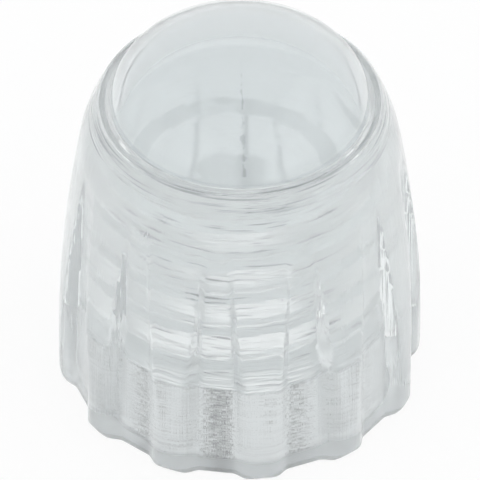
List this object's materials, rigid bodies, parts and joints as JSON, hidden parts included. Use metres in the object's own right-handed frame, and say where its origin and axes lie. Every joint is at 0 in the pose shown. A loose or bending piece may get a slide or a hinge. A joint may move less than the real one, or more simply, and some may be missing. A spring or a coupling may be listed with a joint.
{
  "type": "tyre valve cap",
  "caption": "Clear moulded screw cap for a bicycle tyre valve: ribbed skirt, curved body, low dome on a flat ledge, and a recess and threaded bore inside, open at the rim.",
  "frame": {"origin": "centre of the rim plane on which the cap stands", "axes": "+Z along the cap's axis, from the open rim up to the dome"},
  "size_m": [0.0092, 0.0092, 0.0105],
  "materials": {
    "clear_plastic": "clear, glossy, undyed moulded plastic, dull inside the mouth"
  },
  "bodies": {
    "root": {"cap": "clear_plastic"}
  },
  "joints": []
}
